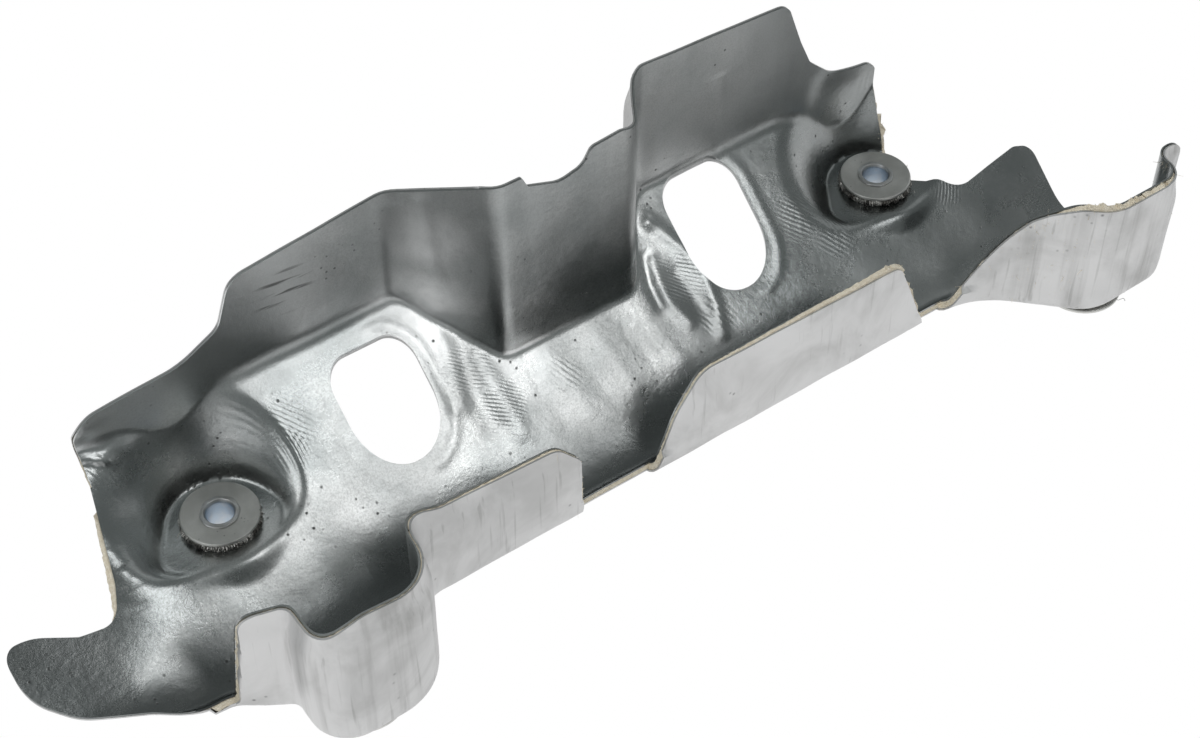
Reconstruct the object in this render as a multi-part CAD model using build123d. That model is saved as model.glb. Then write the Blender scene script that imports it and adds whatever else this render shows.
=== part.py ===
from build123d import *
import math
import os

import numpy as np

# Exhaust heat shield: two pressed metal sheets with a felt mat between them, hung on four
# vibration isolating mounts. Sizes are in millimetres. X runs along the shield, Y runs from the
# near wall to the far wall, and Z points up along the bolt axes. The origin is on the axis of
# mount 1, where its lower sleeve flange seats on the engine.

# Layers, from the hot side inside the trough to the cold side outside it
inner_thickness = 0.6
felt_thickness = 2.1
outer_thickness = 0.6
layer_gap = 0.1

# Isolating mounts, the same at all four places
bore_radius = 4.4
sleeve_wall = 0.9
flare_radius = 6.6
flare_thickness = 0.7
washer_radius = 12.6
lower_washer_radius = 14.5
washer_thickness = 1.3
washer_edge = 0.3
mesh_radius = 12.2
mesh_thickness = 3.0
mesh_edge = 1.0
sheet_hole_radius = 7.4
running_gap = 0.1
seat_gap = 0.15

# Places of the mounts: 1 and 2 stand on the sloping floor, 3 and 4 on the low shelf
mount_2_x = 265.9
mount_3_x = 314.1
mount_4_x = 10.7
low_mount_y = -61.8
upper_pad_height = 21.3

# Walls and floor, inner faces
near_wall_y = -46.7
far_wall_y = 24.3
far_wall_right_y = 21.3
mid_wall_y = -1.7
floor_angle = 39.3
floor_foot_drop = 5.0
floor_blend = 4.0
near_bend_radius = 3.5
far_bend_radius = 9.0

# Jogs of the far wall, in towards the near wall and back out
jog_in_start_x = 81.1
jog_in_end_x = 105.1
jog_out_start_x = 158.1
jog_out_end_x = 173.1
jog_radius = 9.0

# Round bulges of the near wall about mounts 4 and 3
bulge_depth = 31.0
bulge_half_width = 18.7
bulge_4_offset = 1.9
bulge_corner_radius = 17.4
bulge_crease_radius = 6.0
bulge_blend_radius = 16.0
bulge_3_depth = 29.5
bulge_3_left = 10.0
bulge_3_right = 21.0
bulge_3_run_in = 40.0
end_lip_depth = 17.0

# Heights of the walls above the shelf
wall_a_height = 46.0
bulge_height = 51.0
wall_b_height = 40.0
wall_c_height = 38.0
wall_d_height = 47.0
low_lip_height = 67.0
far_wall_left_height = 92.0
far_wall_height = 102.0
mid_wall_height = 105.5
mid_wall_dip = 8.0

# Pads pressed flat into the sloping floor under mounts 1 and 2
pad_radius = 17.2
pad_run = 6.0
pad_side_run = 4.5

# Oblong windows in the floor: x of the left side, width, near end and far end
window_1_x = 48.1
window_2_x = 181.6
window_width = 30.5
window_near_y = -14.5
window_1_far_y = 17.1
window_2_far_y = 20.8
window_corner_radius = 8.5

# Trimmed edges
notch_depth = 8.0
tab_rim_height = 3.0
lip_corner_radius = 10.0
right_corner_radius = 12.0
near_cut_reach = 1.5
gap_left_x = 102.6
gap_right_x = 129.1
wall_c_end_x = 252.1
end_gap = 2.5
low_lip_end_x = 20.1
far_bend_top = 45.0
far_wall_end_x = 246.1
lip_end_x = 348.6
window_low_radius = 15.0
mesh_hole_radius = 6.2

# How closely the pressed sheets are sampled, and what each blank has to spare for trimming
stations = 136
rows = 64
smoothing_passes = 3
spare = 9.0

sandwich = inner_thickness + felt_thickness + outer_thickness + 2 * layer_gap
pad_z = flare_thickness + washer_thickness + mesh_thickness + seat_gap + sandwich
shelf_z = pad_z - upper_pad_height
slope = math.tan(math.radians(floor_angle))
left_x = -105.9
right_x = mount_3_x + 55.0
bulge_4_x = mount_4_x + bulge_4_offset
plan_left_x = bulge_4_x - bulge_half_width - 25.5
plan_right_x = mount_2_x + 14.2


def turn(before, here, after):
    """The arc in the corner here, as its centre and its start, middle and end, or None if sharp."""
    corner = np.array(here[:2], float)
    back = np.array(before[:2], float) - corner
    ahead = np.array(after[:2], float) - corner
    room = 0.49 * min(np.linalg.norm(back), np.linalg.norm(ahead))
    back, ahead = back / np.linalg.norm(back), ahead / np.linalg.norm(ahead)
    half = math.acos(max(-1.0, min(1.0, float(back @ ahead)))) / 2
    radius = min(here[2], room * math.tan(half))
    if radius < 0.05:
        return None
    middle = (back + ahead) / np.linalg.norm(back + ahead)
    centre = corner + middle * radius / math.sin(half)
    reach = radius / math.tan(half)
    return centre, corner + back * reach, centre - middle * radius, corner + ahead * reach


def with_arcs(corners):
    """A dense line through corners, each (x, y, radius), with an arc of its radius in each turn."""
    points = [np.array(corners[0][:2], float)]
    for before, here, after in zip(corners, corners[1:], corners[2:]):
        arc = turn(before, here, after)
        if arc is None:
            points.append(np.array(here[:2], float))
            continue
        centre, start, middle, end = arc
        for near, far in ((start, middle), (middle, end)):
            for k in range(12):
                spoke = near + (far - near) * k / 12 - centre
                points.append(centre + spoke * np.linalg.norm(start - centre) / np.linalg.norm(spoke))
        points.append(end)
    points.append(np.array(corners[-1][:2], float))
    return np.array(points)


def outline_face(corners, plane):
    """A flat face in a plane, with the given corners and an arc of its radius in each."""
    count = len(corners)
    arcs = [turn(corners[k - 1], corners[k], corners[(k + 1) % count]) for k in range(count)]
    edges = []
    for k, arc in enumerate(arcs):
        following = arcs[(k + 1) % count]
        leave = arc[3] if arc else np.array(corners[k][:2], float)
        reach = following[1] if following else np.array(corners[(k + 1) % count][:2], float)
        if arc:
            edges.append(Edge.make_three_point_arc(*[Vector(*p, 0) for p in arc[1:]]))
        if np.linalg.norm(reach - leave) > 1e-4:
            edges.append(Edge.make_line(Vector(*leave, 0), Vector(*reach, 0)))
    return plane * Face(Wire(edges))


def run_length(line):
    """How far along a line each of its points lies."""
    return np.r_[0, np.cumsum(np.linalg.norm(np.diff(line, axis=0), axis=1))]


def along(line, places):
    """Points of a line at the given distances from its start."""
    run = run_length(line)
    return np.stack([np.interp(places, run, line[:, k]) for k in range(line.shape[1])], axis=-1)


def near_wall_line():
    """Plan of the near wall's inner face, from the left tab to the lip at the right end."""
    left_4, right_4 = bulge_4_x - bulge_half_width, bulge_4_x + bulge_half_width
    left_3, right_3 = mount_3_x - bulge_3_left, mount_3_x + bulge_3_right
    foot_4, foot_3 = near_wall_y - bulge_depth, near_wall_y - bulge_3_depth
    return with_arcs([
        (left_x, near_wall_y, 0),
        (left_4 - 18, near_wall_y, 14),
        (left_4, near_wall_y - 11, bulge_crease_radius),
        (left_4, foot_4, bulge_corner_radius),
        (right_4, foot_4, bulge_corner_radius),
        (right_4 + 3.5, near_wall_y, bulge_blend_radius),
        (left_3 - 29, near_wall_y, bulge_3_run_in),
        (left_3, foot_3, 14),
        (right_3, foot_3, 15),
        (right_3, near_wall_y - end_lip_depth, 7),
        (right_x, near_wall_y - end_lip_depth, 0),
    ])


def far_wall_line():
    """Plan of the far wall's inner face, which jogs in towards the trough and back out."""
    return with_arcs([
        (left_x, far_wall_y, 0),
        (jog_in_start_x, far_wall_y, jog_radius),
        (jog_in_end_x, mid_wall_y, jog_radius),
        (jog_out_start_x, mid_wall_y, jog_radius),
        (jog_out_end_x, far_wall_right_y, jog_radius),
        (right_x, far_wall_right_y, 0),
    ])


def smooth_step(t):
    t = np.clip(t, 0, 1)
    return t * t * (3 - 2 * t)


def floor_height(x, y):
    """Height of the floor's inner face: a level shelf, then a slope with two level pads in it."""
    rise = slope * (y - near_wall_y) - floor_foot_drop
    blend = np.clip(0.5 + 0.5 * rise / floor_blend, 0, 1)
    z = shelf_z + rise * blend + floor_blend * blend * (1 - blend)
    for pad_x in (0.0, mount_2_x):
        reach = np.hypot(x - pad_x, y)
        run = pad_run + pad_side_run * (1 - (y / np.maximum(reach, 1e-6)) ** 2)
        z = pad_z + (z - pad_z) * smooth_step((reach - pad_radius) / run)
    return z


def rounded_corner(corner, back, ahead, radius):
    """An arc of the given radius in the corner between two directions, and its tangent length."""
    half = math.acos(max(-1.0, min(1.0, float(back @ ahead)))) / 2
    tangent = radius / math.tan(half)
    middle = (back + ahead) / np.linalg.norm(back + ahead)
    centre = corner + middle * radius / math.sin(half)
    sweep = math.pi - 2 * half
    first = (corner + back * tangent - centre) / radius
    across = (back * -1) - ((back * -1) @ first) * first
    across = across / np.linalg.norm(across)
    angles = np.linspace(0, sweep, 13)
    return [centre + radius * (math.cos(a) * first + math.sin(a) * across) for a in angles], tangent


def section(near, far):
    """A row of points across the shield, down the near wall, over the floor and up the far wall."""
    floor_xy = near + (far - near) * np.linspace(0, 1, 160)[:, None]
    floor = np.c_[floor_xy, floor_height(floor_xy[:, 0], floor_xy[:, 1])]
    up = np.array([0.0, 0.0, 1.0])
    run = run_length(floor)
    ahead = along(floor, [6.0])[0] - floor[0]
    back = along(floor, [run[-1] - 5.0])[0] - floor[-1]
    low_arc, low_reach = rounded_corner(floor[0], up, ahead / np.linalg.norm(ahead), near_bend_radius)
    high_arc, high_reach = rounded_corner(floor[-1], back / np.linalg.norm(back), up, far_bend_radius)
    top_near = np.array([*near, shelf_z + bulge_height + spare])
    top_far = np.array([*far, shelf_z + mid_wall_height + spare])
    between = floor[(run > low_reach + 0.5) & (run < run[-1] - high_reach - 0.5)]
    line = np.array([top_near, *low_arc, *between, *high_arc, top_far])
    return along(line, np.linspace(0, run_length(line)[-1], rows))


def smoothed(field):
    """A grid of directions with each averaged over its neighbours."""
    for axis in (0, 1):
        padded = np.pad(field, [(1, 1) if k == axis else (0, 0) for k in range(3)], "edge")
        behind = np.take(padded, range(field.shape[axis]), axis)
        ahead = np.take(padded, range(2, field.shape[axis] + 2), axis)
        field = field / 2 + (behind + ahead) / 4
    return field / np.linalg.norm(field, axis=2, keepdims=True)


def pressed_grid():
    """Points of the inner face, station by station, and the directions that the layers follow."""
    near_line, far_line = near_wall_line(), far_wall_line()
    near = along(near_line, np.linspace(0, run_length(near_line)[-1], stations))
    window = np.hanning(15)
    reach = len(window) // 2
    ahead = 2 * near[-1, 0] - near[-2:-reach - 2:-1, 0]
    behind = 2 * near[0, 0] - near[reach:0:-1, 0]
    far_x = np.convolve(np.r_[behind, near[:, 0], ahead], window / window.sum(), "valid")
    far = np.c_[far_x, np.interp(far_x, far_line[:, 0], far_line[:, 1])]
    grid = np.array([section(a, b) for a, b in zip(near, far)])
    outward = np.cross(np.gradient(grid, axis=1), np.gradient(grid, axis=0))
    outward = outward / np.linalg.norm(outward, axis=2, keepdims=True)
    for _ in range(smoothing_passes):
        outward = smoothed(outward)
    for end in (0, -1):
        outward[end, :, 0] = 0
        outward[end] /= np.linalg.norm(outward[end], axis=1)[:, None]
    return grid, outward


def blank(grid, outward, start, end):
    """One pressed layer before it is trimmed, between two distances outside the inner face."""
    sections = []
    steps = [k / (rows - 1) for k in range(rows)]
    for inside, outside in zip(grid + outward * start, grid + outward * end):
        sections.append(Wire([
            Edge.make_spline([Vector(*p) for p in inside], parameters=steps),
            Edge.make_line(Vector(*inside[-1]), Vector(*outside[-1])),
            Edge.make_spline([Vector(*p) for p in outside[::-1]], parameters=steps),
            Edge.make_line(Vector(*outside[0]), Vector(*inside[0])),
        ]))
    return Solid.make_loft(sections)


def near_top_profile():
    """Top edge of the near wall, in x and z, with the gaps between its tongues."""
    left_4, right_4 = bulge_4_x - bulge_half_width, bulge_4_x + bulge_half_width
    left_3 = mount_3_x - bulge_3_left
    foot = -notch_depth
    return [
        (left_x - 5, tab_rim_height, 0),
        (left_4 - 18, tab_rim_height, 2),
        (left_4 - 14, wall_a_height - 4, 9),
        (left_4 + 1, bulge_height - 3, 8),
        (left_4 + 9, bulge_height + 4, 12),
        (bulge_4_x + 4, bulge_height + 3, 20),
        (right_4 + 2, bulge_height, 12),
        (right_4 + 18, wall_b_height, 12),
        (gap_left_x - 9, wall_b_height - 2, 7),
        (gap_left_x, wall_b_height - 13, 6),
        (gap_left_x, foot, 0),
        (gap_right_x, foot, 5),
        (gap_right_x + 11, 0.6 * wall_c_height, 40),
        (gap_right_x + 21, wall_c_height, 9),
        (wall_c_end_x - 19, wall_c_height, 5),
        (wall_c_end_x, foot, 0),
        (wall_c_end_x + end_gap, foot, 4),
        (left_3 - 36, 0.25 * wall_d_height, 30),
        (left_3 - 19, 0.8 * wall_d_height, 12),
        (left_3 - 8, wall_d_height, 8),
        (right_x + 5, wall_d_height, 0),
    ]


def far_top_profile():
    """Top edge of the far wall, in x and z: a low lip, two high panels and a scooped middle one."""
    middle = (jog_in_end_x + jog_out_start_x) / 2
    left, right = plan_left_x - 0.5, plan_right_x + 0.5
    return [
        (left_x - 5, far_bend_top, 0),
        (left, far_bend_top, 0),
        (left, low_lip_height - 3, lip_corner_radius),
        (low_lip_end_x - 14, low_lip_height, 25),
        (low_lip_end_x, low_lip_height + 8, 8),
        (low_lip_end_x + 6, far_wall_left_height, 9),
        (jog_in_start_x + 3, far_wall_height - 3, 20),
        (jog_in_end_x - 2, mid_wall_height, 6),
        (middle - 17, mid_wall_height, 1),
        (middle - 15, mid_wall_height - 4.5, 1),
        (middle - 3, mid_wall_height - mid_wall_dip - 1, 9),
        (middle + 5.5, mid_wall_height - mid_wall_dip + 1, 6),
        (middle + 9, mid_wall_height - 1, 3),
        (jog_out_start_x - 6, mid_wall_height, 5),
        (jog_out_end_x - 6, far_wall_height - 1.5, 5),
        (jog_out_end_x + 3, far_wall_height + 2, 5),
        (far_wall_end_x - 9, far_wall_height - 1, 6),
        (far_wall_end_x - 2, far_wall_height - 20, 10),
        (far_wall_end_x + 3, low_lip_height + 4, 9),
        (far_wall_end_x + 14, low_lip_height - 6.5, 10),
        (right, low_lip_height - 10, right_corner_radius),
        (right, far_bend_top, 0),
        (right_x + 5, far_bend_top, 0),
    ]


def plan_outline():
    """Plan of the trimmed shield: the tab at the left end, and the stepped right end."""
    near, corner = near_wall_y, plan_right_x
    left = plan_left_x + 6
    return [
        (left - 6, 70, 0),
        (left - 6, near + 66, 20),
        (left - 13.5, near + 40, 10),
        (left - 18, near + 31.5, 9),
        (left - 30, near + 33, 8),
        (left - 43, near + 38.5, 25),
        (left - 52, near + 38.5, 8),
        (left - 52, near + 25, 14),
        (left - 41, near + 15, 25),
        (left - 22, near + 7, 40),
        (left - 8, near, 20),
        (left + 0.5, near - 3, 0),
        (left + 0.5, near - 60, 0),
        (lip_end_x, near - 60, 0),
        (lip_end_x, near - 14, 4),
        (corner + 51, near - 2, 10),
        (corner + 47, near + 12, 20),
        (corner + 47, near + 30.5, 7),
        (corner + 40, near + 32.5, 7),
        (corner + 11, near + 29, 12),
        (corner - 5, near + 43, 5),
        (corner - 5, near + 49, 5),
        (corner, near + 60, 6),
        (corner, 70, 0),
    ]


def window(x, far_y):
    """An oblong hole through the floor, with tight corners uphill and round ones downhill."""
    width, low = window_width, window_low_radius
    outline = outline_face([
        (x + width, window_near_y, low),
        (x + width, far_y, window_corner_radius),
        (x, far_y, window_corner_radius),
        (x, window_near_y, low),
    ], Plane.XY)
    return extrude(Pos(0, 0, shelf_z - 20) * outline, 120)


def trimming_tools():
    """What is cut from every layer: above the walls, outside the plan, the windows and holes."""
    top = 200.0
    near = near_top_profile()
    far = far_top_profile()
    near = [(x, z + shelf_z, r) for x, z, r in near] + [(right_x + 5, top, 0), (left_x - 5, top, 0)]
    far = [(x, z + shelf_z, r) for x, z, r in far] + [(right_x + 5, top, 0), (left_x - 5, top, 0)]
    above_near = extrude(outline_face(near, Plane.XZ.offset(-near_wall_y - near_cut_reach)), 90)
    above_far = extrude(outline_face(far, Plane.XZ.offset(-60)), 60 - mid_wall_y + 14)
    field = Pos((left_x + right_x) / 2, 0, 40) * Box(2 * (right_x - left_x), 400, 300)
    inside = extrude(Pos(0, 0, -90) * outline_face(plan_outline(), Plane.XY), 250)
    cuts = [above_near, above_far, field - inside]
    cuts += [window(window_1_x, window_1_far_y), window(window_2_x, window_2_far_y)]
    cuts += [Pos(x, y, 0) * Cylinder(sheet_hole_radius, 100) for x, y, _ in mounts]
    return cuts


def ring(inner, outer, thickness, edge):
    """A flat ring standing on z = 0 with its edges rounded."""
    solid = Cylinder(outer, thickness) - Cylinder(inner, 2 * thickness)
    if edge > 0:
        solid = fillet(solid.edges(), edge)
    return Pos(0, 0, thickness / 2) * solid


def mount_pieces(x, y, pad):
    """The five pieces of one isolating mount, from its seat up."""
    seat = pad - pad_z
    tube = bore_radius + sleeve_wall
    washer_hole = tube + running_gap
    upper_mesh_z = pad + seat_gap
    upper_washer_z = upper_mesh_z + mesh_thickness
    top = upper_washer_z + washer_thickness + flare_thickness
    lower_washer_z = seat + flare_thickness
    lower_mesh_z = lower_washer_z + washer_thickness
    mouth = 0.5 * sleeve_wall
    half = make_face(Plane.XZ * Polyline(
        (bore_radius, seat), (flare_radius, seat), (flare_radius, lower_washer_z),
        (tube, lower_washer_z), (tube, top - flare_thickness), (flare_radius, top - flare_thickness),
        (flare_radius, top), (bore_radius + mouth, top), (bore_radius, top - mouth),
        close=True))
    lower_washer = ring(washer_hole, lower_washer_radius, washer_thickness, washer_edge)
    upper_washer = ring(washer_hole, washer_radius, washer_thickness, washer_edge)
    mesh = ring(mesh_hole_radius, mesh_radius, mesh_thickness, mesh_edge)
    place = Pos(x, y, 0)
    return {
        "sleeve": place * revolve(half, Axis.Z),
        "lower_washer": place * Pos(0, 0, lower_washer_z) * lower_washer,
        "lower_mesh_ring": place * Pos(0, 0, lower_mesh_z) * mesh,
        "upper_mesh_ring": place * Pos(0, 0, upper_mesh_z) * mesh,
        "upper_washer": place * Pos(0, 0, upper_washer_z) * upper_washer,
    }


mounts = [
    (0.0, 0.0, pad_z),
    (mount_2_x, 0.0, pad_z),
    (mount_3_x, low_mount_y, shelf_z),
    (mount_4_x, low_mount_y, shelf_z),
]

grid, outward = pressed_grid()
cuts = trimming_tools()
felt_start = inner_thickness + layer_gap
outer_start = felt_start + felt_thickness + layer_gap
layers = {
    "inner_sheet": (0.0, inner_thickness),
    "felt_mat": (felt_start, felt_start + felt_thickness),
    "outer_sheet": (outer_start, outer_start + outer_thickness),
}

os.makedirs("parts", exist_ok=True)
for name, (start, end) in layers.items():
    layer = blank(grid, outward, start, end).cut(*cuts)
    export_step(layer, f"parts/{name}.step")
for number, (x, y, pad) in enumerate(mounts, 1):
    for name, piece in mount_pieces(x, y, pad).items():
        export_step(piece, f"parts/mount_{number}_{name}.step")
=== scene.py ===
import math

import bpy
import numpy as np
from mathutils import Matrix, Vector


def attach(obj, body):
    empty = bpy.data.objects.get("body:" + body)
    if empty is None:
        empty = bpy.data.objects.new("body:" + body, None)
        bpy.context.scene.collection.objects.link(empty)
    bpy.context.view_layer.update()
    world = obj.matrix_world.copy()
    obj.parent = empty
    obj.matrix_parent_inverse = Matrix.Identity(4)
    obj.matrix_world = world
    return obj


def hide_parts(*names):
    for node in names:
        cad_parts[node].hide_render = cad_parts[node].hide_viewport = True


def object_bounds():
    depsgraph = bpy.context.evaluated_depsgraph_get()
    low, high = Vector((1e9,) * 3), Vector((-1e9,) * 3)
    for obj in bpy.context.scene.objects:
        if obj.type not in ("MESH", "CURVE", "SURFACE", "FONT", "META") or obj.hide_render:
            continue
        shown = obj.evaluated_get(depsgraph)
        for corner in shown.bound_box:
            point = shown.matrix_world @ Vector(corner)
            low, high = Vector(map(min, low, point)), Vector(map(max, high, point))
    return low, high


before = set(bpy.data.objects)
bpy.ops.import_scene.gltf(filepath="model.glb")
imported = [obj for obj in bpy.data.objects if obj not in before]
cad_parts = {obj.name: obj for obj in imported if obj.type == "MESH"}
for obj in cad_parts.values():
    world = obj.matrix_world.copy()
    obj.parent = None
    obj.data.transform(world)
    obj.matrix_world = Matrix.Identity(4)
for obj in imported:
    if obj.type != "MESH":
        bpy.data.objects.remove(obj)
cad_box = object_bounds()

# Camera: above the near left end of the shield, as the photographer stood. A long lens keeps the
# perspective gentle.
azimuth, elevation = math.radians(-35.6), math.radians(47.4)
back = Vector((math.sin(azimuth) * math.cos(elevation), -math.cos(azimuth) * math.cos(elevation),
               math.sin(elevation)))
bpy.ops.object.camera_add(location=(-0.14996, -0.41164, 0.53763))
camera = bpy.context.object
camera.rotation_mode = "QUATERNION"
camera.rotation_quaternion = (-back).to_track_quat("-Z", "Y")
camera.data.lens = 65.13
camera.data.clip_start = 0.01
camera.data.clip_end = 20
bpy.context.scene.camera = camera


# Inner sheet: 0.6 mm aluminised steel on the hot side. A flat blank is drawn over a die into a
# trough, with two level pads for mounts, and is then trimmed together with the two layers under it.
inner_thickness, outer_thickness = 0.6, 0.6
sandwich, layer_gap = 3.5, 0.1
felt_start, felt_end = inner_thickness + layer_gap, sandwich - outer_thickness - layer_gap
pad_z = 8.65
shelf_z = -12.65
mount_2_x, mount_3_x, mount_4_x = 265.9, 314.1, 10.7
low_mount_y = -61.8
near_wall_y, far_wall_y, far_wall_right_y, mid_wall_y = -46.7, 24.3, 21.3, -1.7
slope = math.tan(math.radians(39.3))
floor_foot_drop = 5.0
floor_blend = 9.0
left_x, right_x = -105.9, mount_3_x + 55
bulge_4_x = mount_4_x + 1.9
left_4, right_4 = bulge_4_x - 18.7, bulge_4_x + 18.7
left_3, right_3 = mount_3_x - 10, mount_3_x + 21
foot_4, foot_3 = near_wall_y - 31, near_wall_y - 29.5
plan_left_x, plan_right_x = bulge_4_x - 44.2, mount_2_x + 14.2
jog_in, jog_out = (81.1, 105.1), (158.1, 173.1)
gap_left_x, gap_right_x = 102.6, 129.1
wall_c_end_x, low_lip_end_x, far_wall_end_x, lip_end_x = 252.1, 20.1, 246.1, 348.6
near_blank_rise, far_blank_rise = 60.0, 114.5
low_bend_radius = 3.5
pad_edge, pad_run = 16.9, 5.5


def turn(before, here, after):
    """The arc of one rounded corner: centre, start, middle and end, or None for a sharp one."""
    corner = np.array(here[:2], float)
    to_back = np.array(before[:2], float) - corner
    to_front = np.array(after[:2], float) - corner
    room = 0.49 * min(np.linalg.norm(to_back), np.linalg.norm(to_front))
    to_back, to_front = to_back / np.linalg.norm(to_back), to_front / np.linalg.norm(to_front)
    half = math.acos(max(-1.0, min(1.0, float(to_back @ to_front)))) / 2
    radius = min(here[2], room * math.tan(half))
    smallest = 0.05
    if radius < smallest:
        return None
    middle = (to_back + to_front) / np.linalg.norm(to_back + to_front)
    centre = corner + middle * radius / math.sin(half)
    reach = radius / math.tan(half)
    return centre, corner + to_back * reach, centre - middle * radius, corner + to_front * reach


def with_arcs(corners, closed=False, steps=16):
    """The points of a line that is given by its corners, each with the radius of its rounding."""
    count = len(corners)
    points = []
    for k, here in enumerate(corners):
        before, after = corners[k - 1], corners[(k + 1) % count]
        arc = None if not closed and k in (0, count - 1) else turn(before, here, after)
        if arc is None:
            points.append(np.array(here[:2], float))
            continue
        centre, start, middle, end = arc
        radius = np.linalg.norm(start - centre)
        for near, far in ((start, middle), (middle, end)):
            for n in range(steps):
                spoke = near + (far - near) * n / steps - centre
                points.append(centre + spoke * radius / np.linalg.norm(spoke))
        points.append(end)
    return np.array(points)


def run_length(line):
    """How far along the line each of its points is."""
    return np.r_[0, np.cumsum(np.linalg.norm(np.diff(line, axis=0), axis=1))]


def along(line, places):
    """The points at the given distances along a line."""
    run = run_length(line)
    return np.stack([np.interp(places, run, line[:, k]) for k in range(line.shape[1])], axis=-1)


def smooth_step(t):
    t = np.clip(t, 0, 1)
    return t * t * (3 - 2 * t)


near_line = with_arcs([
    (left_x, near_wall_y, 0), (left_4 - 18, near_wall_y, 14), (left_4, near_wall_y - 11, 6),
    (left_4, foot_4, 17.4), (right_4, foot_4, 17.4), (right_4 + 3.5, near_wall_y, 16),
    (left_3 - 29, near_wall_y, 40), (left_3, foot_3, 14), (right_3, foot_3, 15),
    (right_3, near_wall_y - 17, 7), (right_x, near_wall_y - 17, 0)])
far_line = with_arcs([
    (left_x, far_wall_y, 0), (jog_in[0], far_wall_y, 9), (jog_in[1], mid_wall_y, 9),
    (jog_out[0], mid_wall_y, 9), (jog_out[1], far_wall_right_y, 9), (right_x, far_wall_right_y, 0)])
near_top = [
    (left_x - 5, 3, 0), (left_4 - 18, 3, 2), (left_4 - 14, 42, 9), (left_4 + 1, 48, 8),
    (left_4 + 9, 55, 12), (bulge_4_x + 4, 54, 20), (right_4 + 2, 51, 12), (right_4 + 18, 40, 12),
    (gap_left_x - 9, 38, 7), (gap_left_x, 27, 6), (gap_left_x, -8, 0), (gap_right_x, -8, 5),
    (gap_right_x + 11, 22.8, 40), (gap_right_x + 21, 38, 9), (wall_c_end_x - 19, 38, 5),
    (wall_c_end_x, -8, 0), (wall_c_end_x + 2.5, -8, 4), (left_3 - 36, 11.75, 30),
    (left_3 - 19, 37.6, 12), (left_3 - 8, 47, 8), (lip_end_x, 47, 7), (lip_end_x, 20, 0),
    (right_x + 5, 20, 0)]
middle_x = (jog_in[1] + jog_out[0]) / 2
far_top = [
    (left_x - 5, 45, 0), (plan_left_x - 0.5, 45, 0), (plan_left_x - 0.5, 64, 10),
    (low_lip_end_x - 14, 67, 25), (low_lip_end_x, 75, 8), (low_lip_end_x + 6, 92, 9),
    (jog_in[0] + 3, 99, 20), (jog_in[1] - 2, 105.5, 6), (middle_x - 17, 105.5, 1),
    (middle_x - 15, 101, 1), (middle_x - 3, 96.5, 9), (middle_x + 5.5, 98.5, 6),
    (middle_x + 9, 104.5, 3), (jog_out[0] - 6, 105.5, 5), (jog_out[1] - 6, 100.5, 5),
    (jog_out[1] + 3, 104, 5), (far_wall_end_x - 9, 101, 6), (far_wall_end_x - 2, 82, 10),
    (far_wall_end_x + 3, 71, 9), (far_wall_end_x + 14, 60.5, 10), (plan_right_x + 0.5, 57, 12),
    (plan_right_x + 0.5, 45, 0), (right_x + 5, 45, 0)]
edge_x, edge_y, corner_x = plan_left_x + 6, near_wall_y, plan_right_x
outline = [
    (edge_x - 6, 70, 0), (edge_x - 6, edge_y + 66, 20), (edge_x - 13.5, edge_y + 40, 10),
    (edge_x - 18, edge_y + 31.5, 9), (edge_x - 30, edge_y + 33, 8), (edge_x - 43, edge_y + 38.5, 25),
    (edge_x - 52, edge_y + 38.5, 8), (edge_x - 52, edge_y + 25, 14), (edge_x - 41, edge_y + 15, 25),
    (edge_x - 22, edge_y + 7, 40), (edge_x - 8, edge_y, 20), (edge_x + 0.5, edge_y - 3, 0),
    (edge_x + 0.5, edge_y - 60, 0), (lip_end_x, edge_y - 60, 0), (lip_end_x, edge_y - 14, 4),
    (corner_x + 51, edge_y - 2, 10), (corner_x + 47, edge_y + 12, 20),
    (corner_x + 47, edge_y + 30.5, 7), (corner_x + 40, edge_y + 32.5, 7),
    (corner_x + 11, edge_y + 29, 12), (corner_x - 5, edge_y + 43, 5), (corner_x - 5, edge_y + 49, 5),
    (corner_x, edge_y + 60, 6), (corner_x, 70, 0)]
windows = [(48.1, 78.6, -14.5, 17.1), (181.6, 212.1, -14.5, 20.8)]
window_zone_height = 85
hole_places = [(0, 0), (mount_2_x, 0), (mount_3_x, low_mount_y), (mount_4_x, low_mount_y)]
hole_radius = 7.4


def bell(angle, middle, width):
    """1 where a direction points to the middle one, and less to both sides of it."""
    return np.exp(-(((angle - middle + math.pi) % math.tau - math.pi) / width) ** 2)


def floor_height(x, y):
    """Height of the floor: the low shelf, the slope, and the level pads with the niches round them."""
    rise = slope * (y - near_wall_y) - floor_foot_drop
    blend = np.clip(0.5 + 0.5 * rise / floor_blend, 0, 1)
    z = shelf_z + rise * blend + floor_blend * blend * (1 - blend)
    for pad_x in (0.0, mount_2_x):
        reach = np.hypot(x - pad_x, y)
        angle = np.arctan2(y, x - pad_x)
        uphill = 0.5 + 0.5 * y / np.maximum(reach, 1e-6)
        edge = pad_edge + 6.0 * bell(angle, 3.45, 0.42) + 2.4 * bell(angle, -0.35, 0.42)
        run = pad_run + 7.5 * smooth_step(1.4 * uphill) + 9 * bell(angle, 2.9, 0.55)
        steepness = 0.72
        rim = smooth_step(np.clip((reach - edge) / run, 0, 1) ** steepness)
        z = pad_z + (z - pad_z) * rim
    return z


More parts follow.
